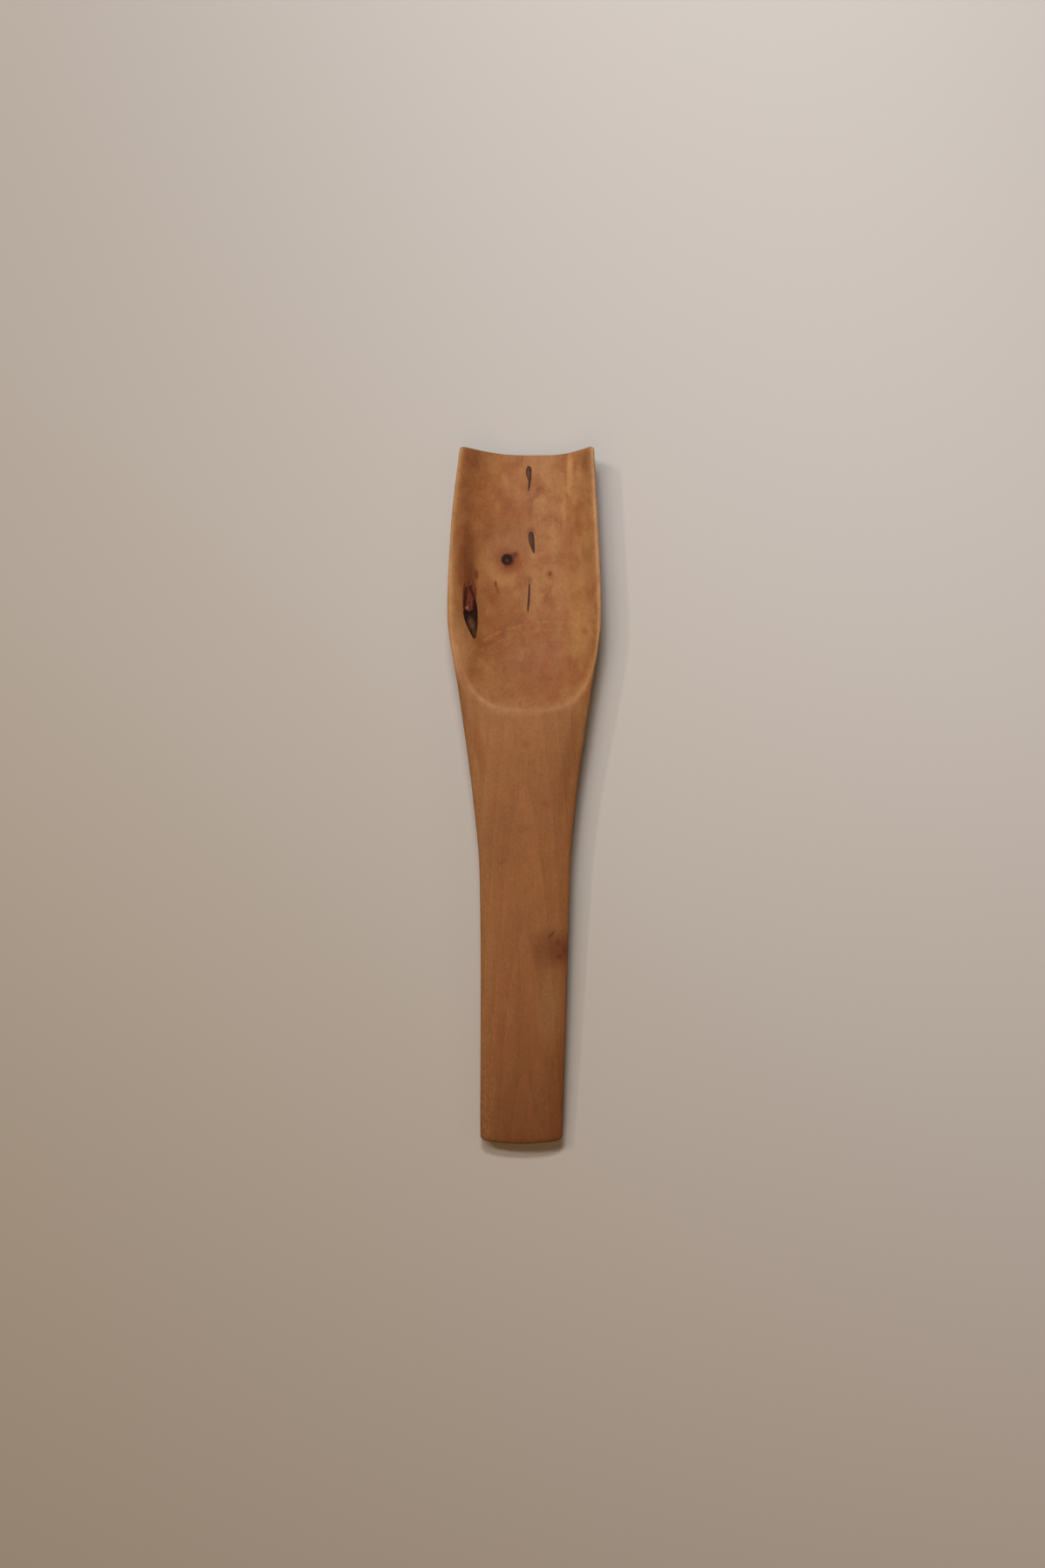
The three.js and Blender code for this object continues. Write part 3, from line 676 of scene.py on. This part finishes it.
# The round knot: a dead branch stub, black and hard, that the tree grew round. It stands upright in
# the bowl's floor, carved flush with it, with a hair of shrinkage all round.
PLUG_PROUD = 3 * MM
SHRINKAGE = 0.04 * MM
TOP_FACING = 0.4
OUTLINE_CURVES = 3
FINE_TOP, PLAIN_TOP = 2, 1
LUMP_FALL, LUMP_STEP, LUMP_LEVELS = 1.0, 2.0, 3
ROUND_KNOT_MIDDLE = (-4.54, 61.7)
ROUND_KNOT_CORNERS = (1.5515, 1.5515)
ROUND_KNOT_SIDES = 10
ROUND_KNOT_DEPTH = 2.8 * MM
# A weathered top, in millimetres: its depth below the wood, and the height and size of its lumps
ROUND_KNOT_TOP = (0.1, 0.06, 0.8)
DEAD_BLACK = colour(26, 14, 8)
DEAD_BROWN = colour(48, 28, 18)
DEAD_PALE = colour(112, 72, 54)
DEAD_GRAIN = (0.35, 0.9)
DEAD_ROUGHNESS, DEAD_RELIEF, DEAD_GLOSS = (0.6, 0.25), (0.7, 0.15), 0.12
# Where dead wood is paler, in millimetres: middle, reach, turn in degrees and strength
DEAD_WOOD_PALE = [
    ((-4.5, 61.5, 5), (0.7, 0.7, 2), 0, 0.35),
    ((-13.9, 44.9, 7), (1.4, 2.7, 3), 18, 0.75),
    ((-13.0, 42.4, 7), (0.8, 2.0, 3), 10, 0.4),
]
RED_EDGE_REACH, RED_EDGE_STEP, RED_EDGE = (1.5, 1.5, 9), (0.72, 1.0), 0.7
ROUND_KNOT_REACH, ROUND_KNOT_FADE = (4, 4, 9), 0.3


def take_up(piece):
    """Select one piece alone and make it the active one."""
    bpy.ops.object.select_all(action="DESELECT")
    piece.select_set(True)
    bpy.context.view_layer.objects.active = piece


def work(piece, kind, **settings):
    """Give the active piece a modifier and apply it."""
    modifier = piece.modifiers.new(kind.lower(), kind)
    for name, setting in settings.items():
        setattr(modifier, name, setting)
    bpy.ops.object.modifier_apply(modifier=modifier.name)


def oval(middle, radii, sides):
    """Corners round a middle, in millimetres."""
    turns = np.linspace(0, 2 * math.pi, sides, endpoint=False)
    return [(middle[0] + radii[0] * math.cos(turn), middle[1] + radii[1] * math.sin(turn))
            for turn in turns]


def raw_plug(name, outline, depth):
    """An upright plug of a drawn outline, in millimetres, that stands proud of the hollow."""
    corners = np.array(outline) * MM
    surface = hollow_height(corners[:, 0], front_y - corners[:, 1])
    bpy.ops.object.select_all(action="DESELECT")
    bpy.ops.mesh.primitive_circle_add(vertices=len(outline), fill_type="NGON")
    plug = bpy.context.object
    plug.name = name
    bottom = surface.min() - depth
    for vertex, (x, y) in zip(plug.data.vertices, corners):
        vertex.co = (x, y, bottom)
    work(plug, "SUBSURF", levels=OUTLINE_CURVES, render_levels=OUTLINE_CURVES)
    bpy.ops.object.mode_set(mode="EDIT")
    bpy.ops.mesh.select_all(action="SELECT")
    height = surface.max() + PLUG_PROUD - bottom
    bpy.ops.mesh.extrude_region_move(TRANSFORM_OT_translate={"value": (0, 0, height)})
    bpy.ops.mesh.select_all(action="SELECT")
    bpy.ops.mesh.normals_make_consistent(inside=False)
    bpy.ops.object.mode_set(mode="OBJECT")
    return plug


def cut(piece, tool, operation):
    """Keep of a piece what lies inside a tool, or outside it."""
    bpy.context.view_layer.objects.active = piece
    work(piece, "BOOLEAN", operation=operation, solver="MANIFOLD", object=tool)


def let_in(plug, node, finish, gap=SHRINKAGE):
    """Carve a plug flush with the spoon, cut its seat with a gap, hide the CAD part it replaces and
    give it its finish.
    """
    take_up(plug)
    bpy.ops.object.duplicate()
    seat_tool = bpy.context.object
    work(seat_tool, "DISPLACE", mid_level=0, strength=gap)
    cut(plug, carved_body, "INTERSECT")
    cut(carved_body, seat_tool, "DIFFERENCE")
    bpy.data.objects.remove(seat_tool)
    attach(plug, "root")
    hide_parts(node)
    plug.data.materials.clear()
    plug.data.materials.append(finish)


def lumps(place, size):
    """Rough lumps between -1 and 1, as big as size in millimetres."""
    return noise.fractal(place / size, LUMP_FALL, LUMP_STEP, LUMP_LEVELS)


def weathered(piece, fineness, top, split=lambda place: 0.0):
    """Divide a piece's top, and sink it by its depth, its lumps and how far it is split there."""
    depth, height, size = top
    take_up(piece)
    work(piece, "SUBSURF", subdivision_type="SIMPLE", levels=fineness, render_levels=fineness)
    for vertex in piece.data.vertices:
        if vertex.normal.z > TOP_FACING:
            place = vertex.co / MM
            vertex.co.z -= (depth + height * lumps(place, size) + split(place)) * MM
    bpy.ops.object.shade_smooth_by_angle(angle=SMOOTH_ANGLE)


def dry_surface(shader, base, grain, roughness, relief, gloss):
    """Feed a shader a dry finish, which its grain makes rough and uneven."""
    least, more = roughness
    feed(shader["Base Color"], base)
    feed(shader["Roughness"], least + more * grain)
    stand_out(shader, grain, *relief)
    shader["Specular IOR Level"].default_value = gloss


def dead_wood():
    """Dead branch wood: near black, dry and cracked, with browner grain where it is broken."""
    material, shader, place = new_finish("dead_knot_wood")
    grain = mottle(place, *DEAD_GRAIN)
    base = mixed(DEAD_BLACK, DEAD_BROWN, grain)
    for at, reach, turn, strength in DEAD_WOOD_PALE:
        base = mixed(base, DEAD_PALE, patch(place, at, reach, turn) * (0.5 + grain) * strength)
    red_edge = between(circled(place, KNOT_MIDDLE, RED_EDGE_REACH), *RED_EDGE_STEP)
    on_round_knot = patch(place, KNOT_MIDDLE, ROUND_KNOT_REACH, fade=ROUND_KNOT_FADE)
    base = mixed(base, BARK_RED, red_edge * on_round_knot * RED_EDGE)
    dry_surface(shader, base, grain, DEAD_ROUGHNESS, DEAD_RELIEF, DEAD_GLOSS)
    return material


dead_finish = dead_wood()
round_outline = oval(ROUND_KNOT_MIDDLE, ROUND_KNOT_CORNERS, ROUND_KNOT_SIDES)
round_knot = raw_plug("round_knot_stub", round_outline, ROUND_KNOT_DEPTH)
let_in(round_knot, "round_knot", dead_finish)
weathered(round_knot, FINE_TOP, ROUND_KNOT_TOP)

# The dead knot: a black stub that runs out low on the left wall, with a prong beside the bark and a
# point towards the handle. It is dry and lumpy and lies a little below the wood round it.
DEAD_KNOT_OUTLINE = [
    (-12.85, 51.4), (-12.35, 49.9), (-12.2, 48.4), (-12.15, 46.1), (-12.2, 44.0), (-12.7, 39.8),
    (-14.0, 42.4), (-15.1, 44.5), (-15.6, 46.2), (-16.0, 47.9), (-15.5, 48.4), (-14.7, 47.9),
    (-13.8, 47.9), (-13.25, 48.5), (-13.1, 50.2),
]
DEAD_KNOT_DEPTH = 1.6 * MM
DEAD_KNOT_TOP = (0.25, 0.18, 1.3)
dead_knot = raw_plug("dead_knot_stub", DEAD_KNOT_OUTLINE, DEAD_KNOT_DEPTH)
let_in(dead_knot, "dead_knot", dead_finish)
weathered(dead_knot, FINE_TOP, DEAD_KNOT_TOP)

# The bark pocket: red-brown bark that the dead branch dragged into the wood, above its stub. It is
# soft and split lengthwise by two fissures.
BARK_OUTLINE = [
    (-15.6, 55.8), (-14.7, 54.9), (-14.1, 56.5), (-13.4, 55.6), (-12.7, 54.7), (-12.4, 52.9),
    (-12.6, 51.3), (-12.7, 50.2), (-12.9, 48.2), (-14.0, 47.3), (-14.9, 47.2), (-15.8, 47.6),
    (-15.95, 50.6), (-15.85, 53.3),
]
BARK_DEPTH = 1.2 * MM
BARK_TOP = (0.03, 0.04, 0.9)
# Each fissure in millimetres, from its upper end to its lower one, and how it wanders and breaks
FISSURES = [((-15.0, 55.0), (-15.45, 48.9)), ((-14.1, 54.4), (-12.9, 51.0))]
FISSURE_WIDTH = 0.42
FISSURE_DEPTH = 0.2
FISSURE_TOP = 54.2
FISSURE_WANDER, WANDER_SIZE = 0.2, 0.9
FISSURE_SHARE, SHARE_SPREAD, SHARE_SIZE = 0.75, 0.5, 0.7
BARK_DARK = colour(82, 32, 19)
BARK_LIGHT = colour(124, 63, 44)
BARK_UPPER = colour(112, 58, 32)
BARK_TIP = colour(184, 140, 116)
FISSURE_DARK_AND_SHADE = colour(54, 17, 8)
BARK_STRANDS, STRAND_STEP = (0.45, 2.2), (0.3, 0.7)
UPPER_ALONG, UPPER_SHARE = (52.6, 55.0), 0.85
FISSURE_STEP, FISSURE_SHADE = (0.05, 0.65), 0.9
TIP_MIDDLE, TIP_REACH, TIP_SHARE = (-14.9, 48.8, 9), (0.55, 0.45, 2), 0.5
BARK_ROUGHNESS, BARK_RELIEF, BARK_GLOSS = (0.65, 0.25), (0.8, 0.2), 0.2


def in_fissure(place):
    """How far inside one of the bark's fissures a place is, from 0 to 1."""
    depth = 0
    for (top_x, top_y), (low_x, low_y) in FISSURES:
        down = min(max((top_y - place.y) / (top_y - low_y), 0), 1)
        middle = top_x + (low_x - top_x) * down + FISSURE_WANDER * lumps(place, WANDER_SIZE)
        share = FISSURE_SHARE + SHARE_SPREAD * lumps(place, SHARE_SIZE)
        share = min(max(share - max(0, place.y - FISSURE_TOP), 0), 1)
        depth = max(depth, math.exp(-((place.x - middle) / FISSURE_WIDTH) ** 2) * share)
    return depth


def inner_bark():
    """Inner bark: red-brown, drawn out lengthwise, and near black down in its fissures: darker bark
    there, with painted shade.
    """
    material, shader, place = new_finish("bark")
    strands = between(mottle(place, *BARK_STRANDS), *STRAND_STEP)
    fissure = place.node("ShaderNodeAttribute", {"attribute_name": "fissure"}, {}, "Fac")
    base = mixed(BARK_DARK, BARK_LIGHT, strands)
    base = mixed(base, BARK_UPPER, between(along_axis(place, "Y"), *UPPER_ALONG) * UPPER_SHARE)
    # The fissures' dark: darker bark, with painted shade over it
    base = mixed(base, FISSURE_DARK_AND_SHADE, between(fissure, *FISSURE_STEP) * FISSURE_SHADE)
    base = mixed(base, BARK_TIP, patch(place, TIP_MIDDLE, TIP_REACH) * TIP_SHARE)
    dry_surface(shader, base, strands, BARK_ROUGHNESS, BARK_RELIEF, BARK_GLOSS)
    return material


bark_pocket = raw_plug("bark_in_pocket", BARK_OUTLINE, BARK_DEPTH)
let_in(bark_pocket, "bark_pocket", inner_bark())
weathered(bark_pocket, FINE_TOP, BARK_TOP, lambda place: FISSURE_DEPTH * in_fissure(place))
fissured = np.array([in_fissure(vertex.co / MM) for vertex in bark_pocket.data.vertices])
bark_pocket.data.attributes.new("fissure", "FLOAT", "POINT").data.foreach_set("value", fissured)

# The pith: the branch's soft dark core, laid bare along the bowl's floor in three streaks where the
# gouge ran through it. It has shrunk a little below the wood.
PITH_DEPTH = 1.1 * MM
PITH_TOP = (0.12, 0.05, 0.7)
PITH_OUTLINES = {
    "front_pith": [(1.2, 86.4), (1.95, 85.5), (1.8, 84.0), (1.8, 82.4), (1.5, 80.9), (1.0, 78.8),
                   (0.95, 81.1), (1.15, 82.5), (0.7, 83.1), (0.3, 84.2), (0.5, 85.6)],
    "middle_pith": [(0.9, 68.5), (1.66, 69.2), (2.45, 68.5), (2.6, 66.8), (2.75, 64.7), (2.6, 62.7),
                    (1.8, 64.5), (1.1, 66.5)],
    "rear_pith": [(1.1, 55.0), (1.32, 55.9), (1.56, 54.7), (1.45, 52.0), (1.2, 49.0), (0.88, 47.4),
                  (0.72, 49.3), (0.96, 52.2)],
}
PITH_DARK = colour(46, 25, 18)
PITH_LIGHT = colour(88, 54, 42)
# Where the pith is paler, in millimetres: middle, reach, turn in degrees, fade, colour and strength
PITH_PALE = [
    ((1.05, 84.2, 5), (0.55, 1.5, 2), 0, 0.4, colour(128, 84, 60), 0.2),
    ((1.6, 67, 5), (0.6, 2, 2), 10, 0.75, colour(104, 76, 66), 0.25),
]
PITH_THREADS = (0.2, 2.5)
PITH_ROUGHNESS, PITH_RELIEF, PITH_GLOSS = (0.65, 0.2), (0.5, 0.1), 0.2


def dried_pith():
    """Dried pith: dark brown threads, paler within the front streak and the middle one."""
    material, shader, place = new_finish("pith")
    threads = mottle(place, *PITH_THREADS)
    base = mixed(PITH_DARK, PITH_LIGHT, threads)
    for at, reach, turn, fade, tint, strength in PITH_PALE:
        base = mixed(base, tint, patch(place, at, reach, turn, fade) * strength)
    dry_surface(shader, base, threads, PITH_ROUGHNESS, PITH_RELIEF, PITH_GLOSS)
    return material


pith_finish = dried_pith()
for node, outline in PITH_OUTLINES.items():
    streak = raw_plug(node + "_streak", outline, PITH_DEPTH)
    let_in(streak, node, pith_finish)
    weathered(streak, PLAIN_TOP, PITH_TOP)

# The pin knots: two twigs no thicker than a pin, cut through by the gouge either side of the pith.
# They are live wood, tight in the floor and level with it.
PIN_DEPTH = 1.1 * MM
PIN_TOP = (0.04, 0.0, 1.0)
PIN_SIDES = 8
# Middle of each pin knot and its half width and half length, in millimetres
PINS = {
    "left_pin_knot": ((-7.5, 55.3), (0.32, 0.75)),
    "right_pin_knot": ((6.63, 58.05), (0.48, 0.6)),
}
PIN_DARK = colour(92, 42, 18)
PIN_LIGHT = colour(130, 67, 32)
PIN_GRAIN = (0.15, 0.15)
PIN_ROUGHNESS, PIN_RELIEF, PIN_GLOSS = (0.55, 0.2), (0.4, 0.05), 0.25


def pin_wood():
    """A live twig's end grain: red-brown, flecked darker."""
    material, shader, place = new_finish("live_knot_wood")
    grain = mottle(place, *PIN_GRAIN)
    base = mixed(PIN_DARK, PIN_LIGHT, grain)
    dry_surface(shader, base, grain, PIN_ROUGHNESS, PIN_RELIEF, PIN_GLOSS)
    return material


pin_finish = pin_wood()
for node, (middle, radii) in PINS.items():
    pin = raw_plug(node + "_twig", oval(middle, radii, PIN_SIDES), PIN_DEPTH)
    let_in(pin, node, pin_finish)
    weathered(pin, PLAIN_TOP, PIN_TOP)

# The handle knot: a spike of live wood that enters the handle from its right edge and tapers off
# along the top, carved flush with it. It is grown together with the wood, so both have one finish.
KNOT_BACK = 130 * MM
KNOT_LENGTH = 8.8 * MM
KNOT_HEIGHT = 5.6 * MM
KNOT_DEPTH = 9 * MM
KNOT_PROUD = 1.4 * MM
KNOT_SINK = 2.2 * MM
KNOT_TIP = 0.24
KNOT_SIDES = 32
KNOT_DIP = math.radians(10)
TIGHT_GAP = 0.005 * MM
knot_edge = outline_drift(KNOT_BACK) + outline_width(KNOT_BACK) / 2
bpy.ops.object.select_all(action="DESELECT")
bpy.ops.mesh.primitive_cone_add(vertices=KNOT_SIDES, radius1=KNOT_TIP / 2, radius2=1 / 2,
                                depth=KNOT_DEPTH + KNOT_PROUD)
handle_knot = bpy.context.object
handle_knot.name = "handle_knot_spike"
handle_knot.scale = (KNOT_HEIGHT, KNOT_LENGTH, 1)
handle_knot.rotation_euler = (0, math.pi / 2 + KNOT_DIP, 0)
outward = Vector((math.cos(KNOT_DIP), 0, -math.sin(KNOT_DIP)))
knot_place = Vector((knot_edge, front_y - KNOT_BACK, ridge_height(KNOT_BACK) - KNOT_SINK))
handle_knot.location = knot_place - outward * (KNOT_DEPTH - KNOT_PROUD) / 2
bpy.ops.object.transform_apply(location=True, rotation=True, scale=True)
let_in(handle_knot, "handle_knot", wood, TIGHT_GAP)
bpy.ops.object.select_all(action="DESELECT")
for piece in (carved_body, handle_knot):
    piece.select_set(True)
    bpy.context.view_layer.objects.active = piece
bpy.ops.object.shade_smooth_by_angle(angle=SMOOTH_ANGLE)

# The table: a sheet of pale warm paper, wide enough for every side view. Uneven light is painted
# into its colour: dimmer to the left, and cooler and a little darker towards the top.
FLOOR_SIZE = 6
PAPER_DIM = colour(163, 152, 139)
PAPER_COOL = colour(163, 155, 149)
PAPER_LIT = colour(199, 194, 192)
PAPER_LEFT, PAPER_RIGHT = -200, 200
PAPER_SLANT = 0.2
PAPER_TWIST = 0.002
PAPER_COOL_FROM = -150
PAPER_TOP = 200
PAPER_TONE, PAPER_FALL = 1.015, 0.09
PAPER_ROUGHNESS, PAPER_GLOSS = 0.9, 0.1
bpy.ops.object.select_all(action="DESELECT")
bpy.ops.mesh.primitive_plane_add(size=FLOOR_SIZE)
floor = bpy.context.object
floor.name = "floor"
paper, paper_shader, paper_place = new_finish("pale_paper")
up_paper = along_axis(paper_place, "Y")
across_paper = along_axis(paper_place, "X") * (1 + PAPER_TWIST * up_paper) + PAPER_SLANT * up_paper
# Painted light: the paper's tint and tone follow uneven light across the sheet
lit = between(across_paper, PAPER_LEFT, PAPER_RIGHT)
cool = between(up_paper, PAPER_COOL_FROM, PAPER_TOP)
paper_tone = PAPER_TONE - PAPER_FALL * between(up_paper, 0, PAPER_TOP)
paper_tint = mixed(mixed(PAPER_DIM, PAPER_COOL, cool), PAPER_LIT, lit)
feed(paper_shader["Base Color"], scaled(paper_tint, paper_tone))
paper_shader["Roughness"].default_value = PAPER_ROUGHNESS
paper_shader["Specular IOR Level"].default_value = PAPER_GLOSS
floor.data.materials.append(paper)

# The light: a cool lamp high beyond the bowl, a broad one to its left, a small one further left, a
# faint one to the right, a large warm one beyond the handle's end, and a dim room all round.
ROOM_TINT = (1.0, 0.75, 0.54, 1)
ROOM_STRENGTH = 0.08
# Each lamp: its place, width and depth in metres, its share of the light and its tint
LAMPS = {
    "high_lamp": ((-0.04, 0.39, 0.6), 0.2, 0.1, 0.425, (0.96, 0.99, 1.0)),
    "broad_lamp": ((-0.19, 0.25, 0.62), 0.3, 0.12, 0.27, (0.96, 0.99, 1.0)),
    "right_lamp": ((0.9, 0.1, 0.8), 0.8, 0.8, 0.022, (1.0, 0.95, 0.86)),
    "left_lamp": ((-0.62, 0.46, 0.95), 0.08, 0.08, 0.11, (1.0, 0.9, 0.75)),
    "warm_lamp": ((-0.4, -1.0, 1.5), 1.8, 1.4, 0.155, (1.0, 0.57, 0.21)),
}
scene = bpy.context.scene
scene.view_settings.view_transform = "Standard"
world = bpy.data.worlds.new("dim_room")
scene.world = world
world.use_nodes = True
room = world.node_tree.nodes["Background"].inputs
room["Color"].default_value = ROOM_TINT
room["Strength"].default_value = ROOM_STRENGTH


def soft_lamp(name, place, width, depth, share, tint):
    """A lamp that faces down and gives its share of the light on a pale sheet under the spoon."""
    lamp = bpy.data.lights.new(name, "AREA")
    lamp.shape = "ELLIPSE"
    lamp.size = width
    lamp.size_y = depth
    lamp.color = tint
    lamp.energy = share * math.pi ** 2 * Vector(place).length ** 4 / place[2] ** 2
    lamp_object = bpy.data.objects.new(name, lamp)
    lamp_object.location = place
    scene.collection.objects.link(lamp_object)


for name, settings in LAMPS.items():
    soft_lamp(name, *settings)

# The camera: straight above the spoon, which stands upright in the frame with its open front at
# the top, seen through a normal lens.
LENS = 50
SENSOR = 36
CAMERA_PLACE = (-0.5 * MM, 3.2 * MM, 572.5 * MM)
camera_data = bpy.data.cameras.new("camera")
camera_data.lens = LENS
camera_data.sensor_width = SENSOR
camera = bpy.data.objects.new("camera", camera_data)
camera.location = CAMERA_PLACE
scene.collection.objects.link(camera)
scene.camera = camera
